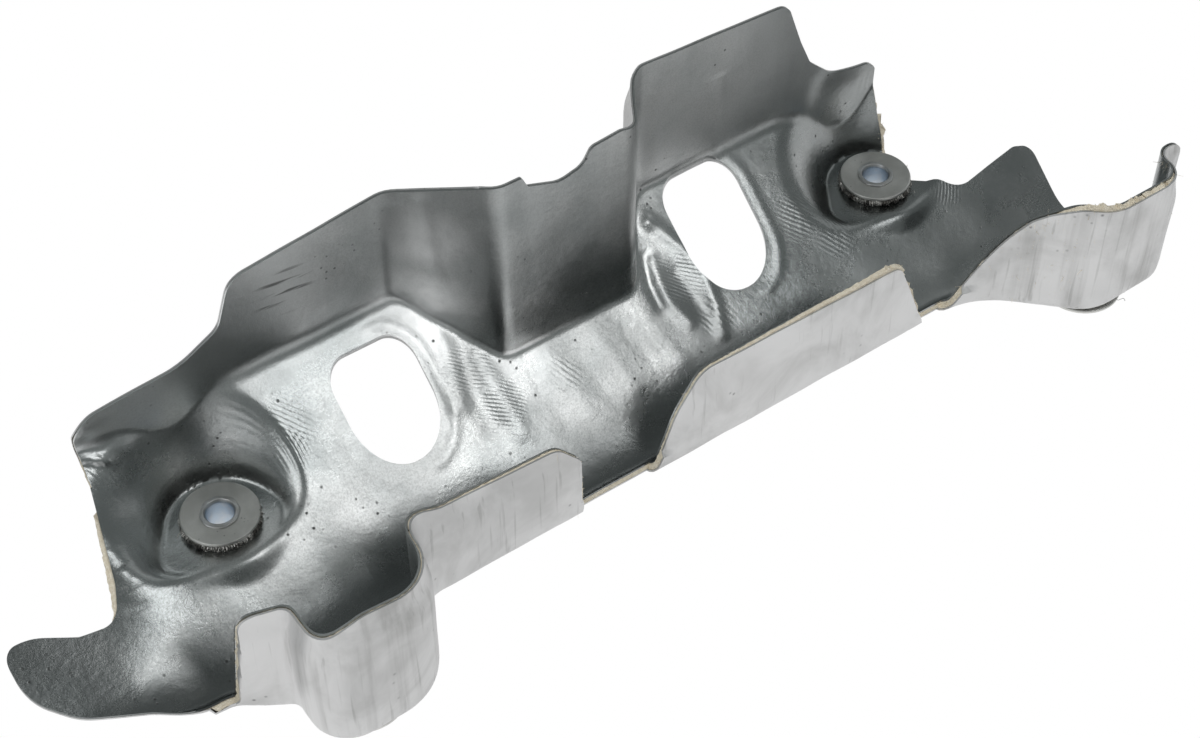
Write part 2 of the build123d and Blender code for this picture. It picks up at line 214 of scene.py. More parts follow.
def rounded_corner(corner, to_back, to_front, radius):
    """The arc of a rounded corner in space, and how far it reaches along both its sides."""
    half = math.acos(max(-1.0, min(1.0, float(to_back @ to_front)))) / 2
    tangent = radius / math.tan(half)
    middle = (to_back + to_front) / np.linalg.norm(to_back + to_front)
    centre = corner + middle * radius / math.sin(half)
    first = (corner + to_back * tangent - centre) / radius
    across = (to_back * -1) - ((to_back * -1) @ first) * first
    across = across / np.linalg.norm(across)
    angles = np.linspace(0, math.pi - 2 * half, 25)
    arc = [centre + radius * (math.cos(a) * first + math.sin(a) * across) for a in angles]
    return arc, tangent


def section(near, far, count):
    """One cross-section of the trough, from the top of the near wall to the top of the far one."""
    floor_xy = near + (far - near) * np.linspace(0, 1, 240)[:, None]
    floor = np.c_[floor_xy, floor_height(floor_xy[:, 0], floor_xy[:, 1])]
    up = np.array([0.0, 0.0, 1.0])
    run = run_length(floor)
    to_front = along(floor, [6.0])[0] - floor[0]
    to_back = along(floor, [run[-1] - 5.0])[0] - floor[-1]
    to_front = to_front / np.linalg.norm(to_front)
    to_back = to_back / np.linalg.norm(to_back)
    low_arc, low_reach = rounded_corner(floor[0], up, to_front, low_bend_radius)
    high_bend_radius = np.interp(far[0], (60, 85, 178, 200), (9.0, 5.0, 5.0, 8.0))
    high_arc, high_reach = rounded_corner(floor[-1], to_back, up, high_bend_radius)
    between = floor[(run > low_reach + 0.5) & (run < run[-1] - high_reach - 0.5)]
    near_end, far_end = [*near, shelf_z + near_blank_rise], [*far, shelf_z + far_blank_rise]
    line = np.array([near_end, *low_arc, *between, *high_arc, far_end])
    return along(line, np.linspace(0, run_length(line)[-1], count))


def blurred(field, reach, axis):
    """The field smoothed along one axis, with its end values carried on past the ends."""
    window = np.hanning(2 * reach + 3)[1:-1]
    window = window / window.sum()
    edges = [(reach, reach) if k == axis else (0, 0) for k in range(field.ndim)]
    padded = np.pad(field, edges, "edge")
    count = field.shape[axis]
    total = 0
    for k, weight in enumerate(window):
        total = total + weight * np.take(padded, range(k, k + count), axis)
    return total


def pressed_grid(stations, rows):
    """Where the blank's grid lies after pressing, and which way its thickness goes there."""
    near = along(near_line, np.linspace(0, run_length(near_line)[-1], stations))
    reach = round(stations / 16)
    beyond = np.r_[2 * near[0, 0] - near[reach:0:-1, 0], near[:, 0],
                   2 * near[-1, 0] - near[-2:-reach - 2:-1, 0]]
    window = np.hanning(2 * reach + 3)[1:-1]
    far_x = np.convolve(beyond, window / window.sum(), "valid")
    far = np.c_[far_x, np.interp(far_x, far_line[:, 0], far_line[:, 1])]
    grid = np.array([section(a, b, rows) for a, b in zip(near, far)])
    outward = np.cross(np.gradient(grid, axis=1), np.gradient(grid, axis=0))
    outward = outward / np.linalg.norm(outward, axis=2, keepdims=True)
    outward = blurred(outward, round(0.0288 * stations), 0)
    outward = blurred(outward, round(0.0577 * rows), 1)
    return grid, outward / np.linalg.norm(outward, axis=2, keepdims=True)


def deselect():
    bpy.ops.object.select_all(action="DESELECT")


def edit_all():
    """Enters edit mode with the whole mesh selected."""
    bpy.ops.object.mode_set(mode="EDIT")
    bpy.ops.mesh.select_all(action="SELECT")


def edited():
    """Turns every face outward and leaves edit mode."""
    bpy.ops.mesh.select_all(action="SELECT")
    bpy.ops.mesh.normals_make_consistent(inside=False)
    bpy.ops.object.mode_set(mode="OBJECT")


def points_of(piece):
    """The places of the vertices, in millimetres."""
    flat = np.empty(len(piece.data.vertices) * 3)
    piece.data.vertices.foreach_get("co", flat)
    return flat.reshape(-1, 3) * 1000


def moved(piece, points):
    """Puts the vertices at new places, in millimetres."""
    piece.data.vertices.foreach_set("co", points.ravel() * 0.001)
    piece.data.update()


def ridge(points, path, width, height):
    """A soft ridge, or a groove where height is negative, along a line through points in space."""
    nearest = np.full(points.shape[:-1], 1e6)
    for start, end in zip(path, path[1:]):
        start, side = np.array(start, float), np.subtract(end, start).astype(float)
        share = np.clip((points - start) @ side / (side @ side), 0, 1)
        nearest = np.minimum(nearest, np.linalg.norm(points - start - share[..., None] * side, axis=-1))
    return height * np.exp(-(nearest / width) ** 2)


def window_distance(points, sides):
    """How far in plan each point lies outside a window's rounded outline."""
    west, east, south, north = sides
    round_off = 11.0
    across = np.abs(points[..., 0] - (west + east) / 2) - ((east - west) / 2 - round_off)
    over = np.abs(points[..., 1] - (south + north) / 2) - ((north - south) / 2 - round_off)
    outside = np.hypot(np.maximum(across, 0), np.maximum(over, 0))
    return outside + np.minimum(np.maximum(across, over), 0) - round_off


fold = [(-31, 22.5, 38.7), (-25, 19.4, 36.4), (-19, 15.9, 33.3), (-14, 11.8, 30.1), (-10.5, 8.7, 27.5)]
creases = [
    (fold, 1.7, 0.75),
    ([(x + 0.5, y - 2.6, z - 1.5) for x, y, z in fold], 1.6, -0.55),
    ([(-28, 24, 46), (-16, 19, 37)], 5, 0.9),
    ([(-26, 2, 22), (-22, -12, 10)], 9, -0.8),
    ([(90, 14, 36), (89.5, 6, 26), (84, -7, 14.5)], 3.6, 0.45),
    ([(93, 9, 29), (90, -3, 18), (91, -15, 8)], 4.2, -0.4),
    ([(97, 2, 22), (98.5, -11, 11), (99, -20, 4)], 3.4, 0.3),
    ([(83, 24, 80), (84, 22, 44)], 2.4, 0.5),
    ([(89, 16, 84), (91, 13, 50)], 2.2, 0.35)]
for k, foot_x in enumerate((112, 120, 128, 137, 146, 155)):
    creases.append(([(foot_x, -4, 21), (foot_x + 2 + k, -24, 1)], 3.0, 0.15 if k % 2 else -0.12))
creases += [
    ([(174, 12.7, 31), (180.5, 3.5, 23.4), (184, -5.7, 15.7), (182.7, -14.8, 8.3), (180, -22, 2)],
     2.2, 0.5),
    ([(166.8, 4.7, 24.2), (163.9, -2.2, 18.7), (164, -8, 13.8)], 2.2, -0.6),
    ([(168, 3, 23), (167, -7.8, 14), (171, -15.6, 7.8)], 2.2, 0.4),
    ([(175, -2, 18), (177, -14, 9)], 3.4, -0.5),
    ([(171, 19, 60), (173, 12, 32)], 2.6, 0.8),
    ([(271, 18, 41), (273, 14, 34)], 8, 1.2),
    ([(257, 20, 46), (254, 17, 36)], 5, -0.9)]


def relief(points):
    """How far the sheets stand up towards the hot side: creases, a bead round each window, the tab's
    twist, ripples at the left end and the slight waves of the draw."""
    x, y, z = points[..., 0], points[..., 1], points[..., 2]
    up = 0
    for path, width, height in creases:
        up = up + ridge(points, path, width, height)
    for sides in windows:
        apart = window_distance(points, sides)
        low = z < shelf_z + window_zone_height
        east = smooth_step((x - (sides[0] + sides[1]) / 2) / 8)
        up += np.where(low, (0.04 + 0.22 * east) * np.exp(-((apart - 3.2) / 1.6) ** 2), 0)
    wrinkled = np.exp(-((x + 36) / 4) ** 2) * (z < shelf_z + 60) * smooth_step((y + 22) / 10)
    up -= 0.15 * (y + 20) * smooth_step((-30 - x) / 20) * smooth_step((8 - y) / 10)
    up += 0.09 * wrinkled * (np.sin(1.1 * y + 0.3 * x) + 0.7 * np.sin(2.3 * y + 1.0))
    up += 0.10 * np.sin(0.21 * x + 0.9 * np.sin(0.05 * z)) * np.sin(0.17 * z + 0.06 * x)
    return up


def below_edge(points, edge):
    """How far points lie below a wall's trimmed edge, given by corners of x, height and radius."""
    corners = np.array([corner[:2] for corner in edge])
    return np.interp(points[:, 0], corners[:, 0], corners[:, 1]) + shelf_z - points[:, 2]


def openness(points):
    """1 where the layers lie at their full spacing, 0 where an edge is crimped shut."""
    x, y, z = points[:, 0], points[:, 1], points[:, 2]
    far_run, near_run, window_run, tip_run = 11, 12, 5, 7
    tall = (y > -15) & (z > shelf_z + 48)
    result = np.where(tall, smooth_step((below_edge(points, far_top) - 1) / far_run), 1.0)
    left_open = np.interp(x, (40, 60, 100, 130, 180, 240, 256, 290, 300, 326, 334),
                          (0.15, 0.3, 0.45, 0.25, 0.5, 0.95, 0.1, 0.1, 1.0, 1.0, 0.1))
    tongue = (y < near_wall_y + 1) & (z > shelf_z + 8)
    inward = smooth_step((below_edge(points, near_top) - 1) / near_run)
    result = np.where(tongue, left_open + (1 - left_open) * inward, result)
    for sides in windows:
        low = z < shelf_z + window_zone_height
        spacing = smooth_step((window_distance(points, sides) - 0.5) / window_run)
        result = np.where(low, np.minimum(result, spacing), result)
    result = np.minimum(result, smooth_step((lip_end_x - 0.3 - x) / tip_run))
    tab = np.flatnonzero((x < plan_left_x) & (y < -5))
    rim = with_arcs(outline, closed=True)
    rim = along(rim, np.arange(0, run_length(rim)[-1], 1.5))
    rim = rim[rim[:, 0] < plan_left_x + 2]
    apart = np.linalg.norm(points[tab, None, :2] - rim[None], axis=2).min(axis=1)
    result[tab] = np.minimum(result[tab], smooth_step((apart - 0.4) / tip_run))
    return result


def pressed_blank(name, stations, rows, start, end, start_slack=0.0, end_slack=0.0):
    """A flat blank with a thickness, and with every vertex moved to its pressed place."""
    deselect()
    bpy.ops.mesh.primitive_grid_add(x_subdivisions=stations - 1, y_subdivisions=rows - 1, size=2)
    piece = bpy.context.object
    piece.name = name
    edit_all()
    bpy.ops.mesh.extrude_region_move(TRANSFORM_OT_translate={"value": (0, 0, 1)})
    bpy.ops.object.mode_set(mode="OBJECT")
    grid, outward = pressed_grid(stations, rows)
    shut = 1 - openness(grid.reshape(-1, 3)).reshape(stations, rows)
    grid = grid - outward * relief(grid)[..., None]
    flat = points_of(piece) / 1000
    i = np.rint((flat[:, 0] + 1) / 2 * (stations - 1)).astype(int)
    j = np.rint((flat[:, 1] + 1) / 2 * (rows - 1)).astype(int)
    offset = np.where(flat[:, 2] > 0.5, end - end_slack * shut[i, j], start - start_slack * shut[i, j])
    pressed = grid[i, j] + outward[i, j] * offset[:, None]
    pressed[:, 1] = pressed[:, 1].clip(cad_box[0][1] * 1000, cad_box[1][1] * 1000)
    moved(piece, pressed)
    return piece


def prism(name, points, lift, push):
    """A cutter: an outline set by lift into space, in millimetres, and extruded by push."""
    points = points[np.linalg.norm(points - np.roll(points, 1, axis=0), axis=1) > 1e-3]
    deselect()
    bpy.ops.mesh.primitive_circle_add(vertices=len(points), fill_type="NGON")
    cutter = bpy.context.object
    cutter.name = name
    moved(cutter, np.array([lift(*point) for point in points]))
    edit_all()
    bpy.ops.mesh.extrude_region_move(TRANSFORM_OT_translate={"value": [v * 0.001 for v in push]})
    edited()
    cutter.hide_render = True
    return cutter


def torn(line, random, loose):
    """A trimmed edge that is frayed: the line's points, close together and set off at random.
    The scatter is wider where loose, a function of a point, says so."""
    spacing, ends = 1.1, 2
    points = along(line, np.arange(0, run_length(line)[-1], spacing))
    scatter = 0.16 + 0.42 * np.array([loose(point) for point in points])[:, None]
    shift = random.normal(0, 1, (len(points), 2)).clip(-1.6, 1.6) * scatter
    points[ends:-ends] += shift[ends:-ends]
    return points


def trim(piece, cutter, operation):
    deselect()
    piece.select_set(True)
    bpy.context.view_layer.objects.active = piece
    cut = piece.modifiers.new("trim", "BOOLEAN")
    cut.operation = operation
    cut.solver = "MANIFOLD"
    cut.object = cutter
    bpy.ops.object.modifier_apply(modifier=cut.name)


def trimming_tools(tag, near_raise=0.0, far_raise=0.0, window_spare=0.0, random=None):
    """The cutters for one layer. The felt passes a random source, which frays its edges."""
    stand = ((-20, 90, 200, 236, 252, 262, 292, 300, 324, 334),
             (-0.6, -0.2, 0, 1.5, 0.8, -0.6, -0.6, 1.6, 1.4, -1.5))
    near = with_arcs([(x, z + shelf_z, r) for x, z, r in near_top], steps=10)
    near[:, 1] += near_raise * np.interp(near[:, 0], *stand)
    far = with_arcs([(x, z + shelf_z + far_raise, r) for x, z, r in far_top], steps=10)
    plan = with_arcs(outline, closed=True, steps=10)
    if random is not None:
        near = torn(near, random, lambda p: 226 < p[0] < 256 or 298 < p[0] < 328)
        plan[:, 0] += np.where((np.abs(plan[:, 0] - plan_right_x) < 7) & (plan[:, 1] > -8), 1.1, 0)
        plan[:, 0] -= np.where((plan[:, 0] < plan_left_x + 1) & (plan[:, 1] > -15), 0.7, 0)
        tab = (plan[:, 0] < plan_left_x - 1) & (plan[:, 1] < -5)
        tab_middle, tab_share = (-55, -21), 0.86
        plan[tab] = tab_middle + tab_share * (plan[tab] - tab_middle)
        plan = torn(plan, random, lambda p: p[0] > plan_right_x - 8 and p[1] > -8)
        plan[:, 0] = plan[:, 0].clip(None, lip_end_x)
    sky = [(right_x + 5, 200), (left_x - 5, 200)]
    near_tool = prism(tag + "_near", np.r_[near, sky],
                      lambda x, z: (x, near_wall_y + 1.5, z), (0, -90, 0))
    far_tool = prism(tag + "_far", np.r_[far, sky], lambda x, z: (x, -15, z), (0, 90, 0))
    plan_tool = prism(tag + "_plan", plan, lambda x, y: (x, y, -90), (0, 0, 250))
    tools = [(near_tool, "DIFFERENCE"), (far_tool, "DIFFERENCE"), (plan_tool, "INTERSECT")]
    openings = []
    for k, (west, east, south, north) in enumerate(windows):
        west, east = west - window_spare, east + window_spare
        south, north = south - window_spare, north + window_spare
        openings.append((f"{tag}_window_{k}", [(east, south, 15), (east, north, 8.5),
                                               (west, north, 8.5), (west, south, 15)]))
    for k, (x, y) in enumerate(hole_places):
        corners = [(x + a * hole_radius, y + b * hole_radius, hole_radius)
                   for a, b in ((-1, -1), (1, -1), (1, 1), (-1, 1))]
        openings.append((f"{tag}_hole_{k}", corners))
    for name, corners in openings:
        rim = with_arcs(corners, closed=True, steps=10)
        tools.append((prism(name, rim, lambda x, y: (x, y, -60), (0, 0, 140)), "DIFFERENCE"))
    return tools


def trimmed(piece, tools):
    """Cuts the pressed blank with each cutter, and clears the cutters away."""
    for cutter, operation in tools:
        trim(piece, cutter, operation)
    for cutter, _ in tools:
        bpy.data.meshes.remove(cutter.data)
    finished(piece)


def dressed(piece, material):
    piece.data.materials.clear()
    piece.data.materials.append(material)


def finished(piece, angle=40):
    """Smooth faces, with creases kept where they meet at more than the angle in degrees."""
    deselect()
    piece.select_set(True)
    bpy.context.view_layer.objects.active = piece
    bpy.ops.object.shade_smooth_by_angle(angle=math.radians(angle))


class Socket:
    """One output of a shader node, which can be used in a sum like a number."""

    def __init__(self, tree, out):
        self.tree = tree
        self.out = out

    def node(self, kind, settings=None, inputs=None, output=0):
        made = self.tree.nodes.new(kind)
        for key, value in (settings or {}).items():
            setattr(made, key, value)
        for key, value in (inputs or {}).items():
            if isinstance(value, Socket):
                self.tree.links.new(value.out, made.inputs[key])
            else:
                made.inputs[key].default_value = value
        return Socket(self.tree, made.outputs[output])

    def maths(self, operation, *others):
        """A maths node with this as its first value."""
        return self.node("ShaderNodeMath", {"operation": operation}, dict(enumerate((self, *others))))

    def __add__(self, other):
        return self.maths("ADD", other)

    def __radd__(self, other):
        return self + other

    def __sub__(self, other):
        return self.maths("SUBTRACT", other)

    def __rsub__(self, other):
        return self.node("ShaderNodeMath", {"operation": "SUBTRACT"}, {0: other, 1: self})

    def __mul__(self, other):
        return self.maths("MULTIPLY", other)

    def __rmul__(self, other):
        return self * other

    def round_patch(self, point, inner, outer):
        """1 nearer to a point than inner, 0 farther away than outer, in millimetres."""
        gap = self.node("ShaderNodeVectorMath", {"operation": "DISTANCE"},
                        {0: self, 1: [v * 0.001 for v in point]}, 1)
        return 1 - (gap * 1000).band(inner, outer)

    def axes(self):
        """The three coordinates, in millimetres."""
        parts = [self.node("ShaderNodeSeparateXYZ", None, {"Vector": self}, k) for k in range(3)]
        return [part * 1000 for part in parts]

    def clamp(self):
        return self.node("ShaderNodeClamp", None, {"Value": self})

    def band(self, low, high):
        """0 below low, 1 above high, smooth between."""
        return self.node("ShaderNodeMapRange", {"interpolation_type": "SMOOTHSTEP"},
                         {"Value": self, "From Min": low, "From Max": high})

    def mixed(self, first, second):
        """The colour first where this is 0 and second where it is 1."""
        return self.node("ShaderNodeMix", {"data_type": "RGBA"},
                         {"Factor": self, 6: first, 7: second}, 2)

    def at_least(self, other):
        return self.maths("MAXIMUM", other)

    def scaled(self, scale, rotation=(0, 0, 0)):
        return self.node("ShaderNodeMapping", None,
                         {"Vector": self, "Scale": scale, "Rotation": rotation})

    def noise(self, scale, detail=2.0, roughness=0.5, distortion=0.0):
        return self.node("ShaderNodeTexNoise", None, {
            "Vector": self, "Scale": scale, "Detail": detail, "Roughness": roughness,
            "Distortion": distortion})

    def specks(self, size, scatter, low, high):
        """Small round specks, one to a cell, and only where a broader noise is high."""
        cells = self.node("ShaderNodeTexVoronoi", None, {"Vector": self, "Scale": size})
        return (1 - cells.band(*low)) * self.noise(scatter, 2).band(*high)


def grey(level):
    return level, level, level, 1


def new_material(name):
    """A material, its shader, and the object's own coordinates as a socket."""
    material = bpy.data.materials.new(name)
    material.use_nodes = True
    tree = material.node_tree
    tree.nodes.clear()
    out = tree.nodes.new("ShaderNodeOutputMaterial")
    shader = tree.nodes.new("ShaderNodeBsdfPrincipled")
    tree.links.new(shader.outputs[0], out.inputs[0])
    coordinates = tree.nodes.new("ShaderNodeTexCoord")
    place = Socket(tree, coordinates.outputs["Object"])
    return material, shader, place


def join(shader, name, value):
    """Sets an input of the shader, or links it where the value is a socket."""
    if isinstance(value, Socket):
        value.tree.links.new(value.out, shader.inputs[name])
    else:
        shader.inputs[name].default_value = value


def bumped(shader, height, strength, distance):
    tree = height.tree
    bump = tree.nodes.new("ShaderNodeBump")
    bump.inputs["Strength"].default_value = strength
    bump.inputs["Distance"].default_value = distance
    tree.links.new(height.out, bump.inputs["Height"])
    tree.links.new(bump.outputs[0], shader.inputs["Normal"])


inner_steel, shader, place = new_material("inner_sheet_aluminised_steel")
x, y, z = place.axes()
clouds = place.noise(38, 4, 0.6)
broad = place.noise(11, 3, 0.55)
pits = place.specks(300, 60, (0.05, 0.2), (0.55, 0.65))
tone = (clouds * 0.5 + broad * 0.5).band(0.36, 0.66)
speckle = place.noise(1500, 3, 0.75)
upright = z.band(25, 60)
# Painted reflection: lighter vertical streaks on the walls.
painted_wall_reflections = place.scaled((70, 70, 9)).noise(1.0, 3, 0.6).band(0.45, 0.7) * upright
colour = tone.mixed((0.42, 0.445, 0.445, 1), (0.64, 0.65, 0.645, 1))
colour = (speckle.band(0.42, 0.62) * 0.35).mixed(colour, (0.30, 0.31, 0.31, 1))
colour = (painted_wall_reflections * 0.4).mixed(colour, (0.72, 0.74, 0.74, 1))
# Painted shade: darker to the right and on the shelf and tab. Painted highlight at the shoulder by window
# 1.
shade = x.band(150, 260) * 0.72
# Painted shade also on the walls from about x 66 to the right.
shade = shade.at_least(upright * x.band(58, 74) * 0.4)
colour = shade.mixed(colour, (0.24, 0.255, 0.255, 1))
# Painted shade on the low shelf left of about x 165 and on the tab at the left end.
shade = (1 - z.band(-9, 4)) * (1 - x.band(130, 200)) * 0.85
shade = shade.at_least((1 - x.band(-60, -20)) * 0.7)
colour = shade.mixed(colour, (0.13, 0.14, 0.14, 1))
# Painted reflection: the walls left of about x 50 made lighter.
colour = (upright * (1 - x.band(38, 64)) * 0.6).mixed(colour, (0.86, 0.88, 0.88, 1))
# Painted highlights: a round patch at the shoulder by window 1 and two more beside it, mottled by the
# clouds.
painted_highlight = place.round_patch((83, 16, 34), 6, 25) * 0.95
painted_highlight = painted_highlight.at_least(place.round_patch((91, 16, 68), 4, 18) * 0.5)
painted_highlight = painted_highlight.at_least(place.round_patch((110, -4, 17), 4, 18) * 0.5)
painted_highlight = painted_highlight * (0.55 + 0.45 * clouds.band(0.4, 0.6))
colour = painted_highlight.mixed(colour, (0.95, 0.96, 0.96, 1))
# Painted shade: a round patch at the foot of the slope left of window 2.
painted_shade_patch = place.round_patch((170, -16, 8), 4, 22) * 0.55
colour = painted_shade_patch.mixed(colour, (0.22, 0.23, 0.23, 1))
rubbed = place.round_patch((43, 24, 65), 6, 13) * (z + 0.18 * x).maths("PINGPONG", 2.2).band(1.3, 1.9)
rubbed = rubbed * place.scaled((60, 60, 700)).noise(1.0, 3).band(0.4, 0.6)
colour = (rubbed * 0.75).mixed(colour, grey(0.09))
colour = (pits * 0.8).mixed(colour, grey(0.08))
join(shader, "Base Color", colour)
join(shader, "Metallic", 1.0)
grain = place.noise(24, 5, 0.65).band(0.35, 0.7)
worn = 0.16 * upright + 0.10 * grain + 0.08 * speckle + 0.25 * pits + 0.2 * rubbed
join(shader, "Roughness", 0.2 + worn)
wrinkles = 0.0
for centre, patches in (
        ((0, 0), (((16, 13, 30), 12), ((27, 2, 22), 9), ((-15, 15, 32), 9))),
        ((mount_2_x, 0), (((272, 16, 34), 12), ((241, -9, 12), 8), ((286, -14, 6), 9),
                          ((246, 8, 27), 8)))):
    across, over = x - centre[0], y - centre[1]
    ring = (across * across + over * over).maths("SQRT")
    waves = (ring * 5.2 + place.noise(60, 2) * 9).maths("SINE")
    for patch, reach in patches:
        wrinkles = wrinkles + waves * place.round_patch(patch, 0.35 * reach, reach)
for patch, reach, tilt in (
        ((228, -4, 17), 12, 4.0), ((236, -14, 10), 10, 3.0), ((92, 0, 20), 12, 5.0),
        ((97, -12, 11), 12, 5.5), ((175, -4, 17), 12, 5.0), ((181, -18, 6), 9, 2.0),
        ((120, -13, 10), 9, 2.5), ((32, 8, 27), 12, 3.5), ((-28, 18, 34), 9, 2.0)):
    waves = (x * 3.1 + y * tilt + place.noise(55, 2) * 11).maths("SINE")
    wrinkles = wrinkles + waves * place.round_patch(patch, 0.3 * reach, reach) * 0.7
fine = place.noise(420, 3, 0.6) * 0.8 + place.noise(90, 2) * 0.9 + speckle * 0.35
fine = fine + place.scaled((1.0, 1.8, 1.8), (0.7, 0, 0.5)).noise(230, 2) * 0.6
bumped(shader, fine + wrinkles * 0.3 - pits * 0.7, 0.42, 0.0002)

inner_sheet = pressed_blank("pressed_inner_sheet", stations=440, rows=220, start=0.0, end=inner_thickness)
trimmed(inner_sheet, trimming_tools("inner"))
dressed(inner_sheet, inner_steel)
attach(inner_sheet, "root")
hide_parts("inner_sheet")


# Felt mat: needled mineral fibre felt, 2.1 mm thick, pressed with the sheets. Its cut edge shows
# between them, frayed, in a warm beige, except where the sheets are crimped shut.
felt, shader, place = new_material("beige_fibre_felt")
fibre = place.noise(900, 4, 0.7).band(0.3, 0.75) * 0.7 + place.noise(120, 2) * 0.3
colour = fibre.mixed((0.70, 0.61, 0.46, 1), (0.96, 0.90, 0.77, 1))
join(shader, "Base Color", colour)
join(shader, "Roughness", 0.95)
bumped(shader, place.noise(1500, 3, 0.7) + place.noise(500, 2), 0.9, 0.0004)

random = np.random.default_rng(7)
felt_mat = pressed_blank("pressed_felt_mat", stations=300, rows=150, start=felt_start, end=felt_end,
                         end_slack=2.0)
felt_tools = trimming_tools("felt", near_raise=1.0, far_raise=-7, window_spare=4, random=random)
trimmed(felt_mat, felt_tools)
dressed(felt_mat, felt)
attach(felt_mat, "root")
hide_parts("felt_mat")


# Felt fibres: short fibres stand out of the felt's cut edge, on the tongues and at both ends. One
# is extruded from a three-sided ring and repeated, and each is then bent its own way.
def cut_edge_places(count):
    """Points on the felt's cut faces with the face's direction, picked at random by area."""
    total = len(felt_mat.data.polygons)
    normal, centre, area = np.empty(total * 3), np.empty(total * 3), np.empty(total)
    felt_mat.data.polygons.foreach_get("normal", normal)
    felt_mat.data.polygons.foreach_get("center", centre)
    felt_mat.data.polygons.foreach_get("area", area)
    normal, centre = normal.reshape(-1, 3), centre.reshape(-1, 3) * 1000
    # Blender may number the faces differently in each run, so they are put in order by place.
    order = np.lexsort(centre.round(3).T)
    normal, centre, area = normal[order], centre[order], area[order]
    top = (normal[:, 2] > 0.6) & (centre[:, 1] < near_wall_y + 1) & (centre[:, 2] > shelf_z + 14)
    west = (normal[:, 0] < -0.6) & (centre[:, 0] < plan_left_x + 2) & (centre[:, 1] > -18)
    east = (normal[:, 0] > 0.6) & (centre[:, 0] > plan_right_x - 8) & (centre[:, 1] > -50)
    slit = (np.abs(normal[:, 0]) > 0.6) & (centre[:, 1] < near_wall_y + 1) & (centre[:, 0] > 90)
    picked = np.flatnonzero(top | west | east | slit & (centre[:, 0] < lip_end_x - 8))
    x = centre[:, 0]
    loose = ((x > 226) & (x < 258) | (x > 298) & (x < 328)) & top
    weight = area * np.where(loose | east, 4, 1)
    picked = random.choice(picked, count, p=weight[picked] / weight[picked].sum())
    return centre[picked], normal[picked]


fibre_count = 3200
rings, sides = 4, 3
deselect()
bpy.ops.mesh.primitive_circle_add(vertices=sides, radius=1, fill_type="NGON")
fibres = bpy.context.object
fibres.name = "felt_edge_fibres"
edit_all()
for _ in range(rings - 1):
    bpy.ops.mesh.extrude_region_move(TRANSFORM_OT_translate={"value": (0, 0, 1)})
edited()
repeat = fibres.modifiers.new("repeat", "ARRAY")
repeat.count = fibre_count
repeat.relative_offset_displace = (0, 0, 1.5)
bpy.ops.object.modifier_apply(modifier=repeat.name)
shape = (points_of(fibres) / 1000).reshape(fibre_count, -1, 3)
shape[..., 2] -= shape[..., 2].min(axis=1)[:, None]
root, lean = cut_edge_places(fibre_count)
length = random.uniform(0.8, 2.8, fibre_count) * random.uniform(0.3, 1, fibre_count)
length = length[:, None, None]
heading = lean + random.normal(0, 0.55, (fibre_count, 3))
heading = heading / np.linalg.norm(heading, axis=1)[:, None]
bend = random.normal(0, 0.5, (fibre_count, 3))
side = np.cross(heading, random.normal(0, 1, (fibre_count, 3)))
side = side / np.linalg.norm(side, axis=1)[:, None]
other = np.cross(heading, side)
share = shape[..., 2:3] / (rings - 1)
thick = random.uniform(0.06, 0.17, fibre_count)[:, None, None] * (1 - 0.6 * share)
spread = random.uniform(-0.5, 0.5, (fibre_count, 3))
middle = heading[:, None] * length * share + bend[:, None] * length * share ** 2
girth = (side[:, None] * shape[..., :1] + other[:, None] * shape[..., 1:2]) * thick
rooted = 0.3
shape = (root + spread)[:, None] + middle + girth - heading[:, None] * rooted
moved(fibres, shape)
finished(fibres)
dressed(fibres, felt)
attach(fibres, "root")


# Outer sheet: the same 0.6 mm steel on the cold side, with its dull mill skin, grime and the
# streaks of the draw. It is pressed round the other two and crimped to them along the edges.
outer_steel, shader, place = new_material("outer_sheet_dull_steel")
smudge = place.noise(30, 5, 0.6, 0.6).band(0.40, 0.68)
scratches = place.scaled((500, 500, 26), (0.3, 0.5, 0.2)).noise(1.0, 2, 0.5).band(0.60, 0.72)
drawn = place.scaled((160, 160, 9)).noise(1.0, 4, 0.6).band(0.45, 0.7)
low_y = place.axes()[1]
drawn = drawn * (1 - low_y.band(near_wall_y - 16, near_wall_y - 3))
specks = place.specks(240, 50, (0.04, 0.2), (0.55, 0.68))
grime = (smudge * 0.6 + drawn * 0.5 + scratches * 0.45).clamp()
colour = grime.mixed(grey(0.68), (0.44, 0.44, 0.435, 1))
colour = (specks * 0.7).mixed(colour, grey(0.12))
join(shader, "Base Color", colour)
join(shader, "Metallic", 0.8)
join(shader, "Roughness", 0.42 + 0.15 * place.noise(20, 4, 0.6).band(0.35, 0.7))
bumped(shader, place.noise(500, 3, 0.6) * 0.5 + place.noise(110, 2) * 0.6 + drawn * 0.4, 0.2, 0.0002)

crimped = 2.15
outer_sheet = pressed_blank(
    "pressed_outer_sheet", stations=360, rows=180, start=sandwich - outer_thickness, end=sandwich,
    start_slack=crimped, end_slack=crimped)
trimmed(outer_sheet, trimming_tools("outer"))
dressed(outer_sheet, outer_steel)
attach(outer_sheet, "root")
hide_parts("outer_sheet")


# Sleeves: a thin steel tube through each mount, zinc plated, with its ends rolled over the washers
# by a punch, so that the upper lip is a little uneven.
bore, tube_radius, flare, flare_thickness = 4.4, 5.3, 6.6, 0.7
washer_thickness, mesh_thickness, seat_gap = 1.3, 3.0, 0.15
mounts = [(0.0, 0.0, pad_z), (mount_2_x, 0.0, pad_z), (mount_3_x, low_mount_y, shelf_z),
          (mount_4_x, low_mount_y, shelf_z)]
stack = pad_z + seat_gap + mesh_thickness + washer_thickness + flare_thickness


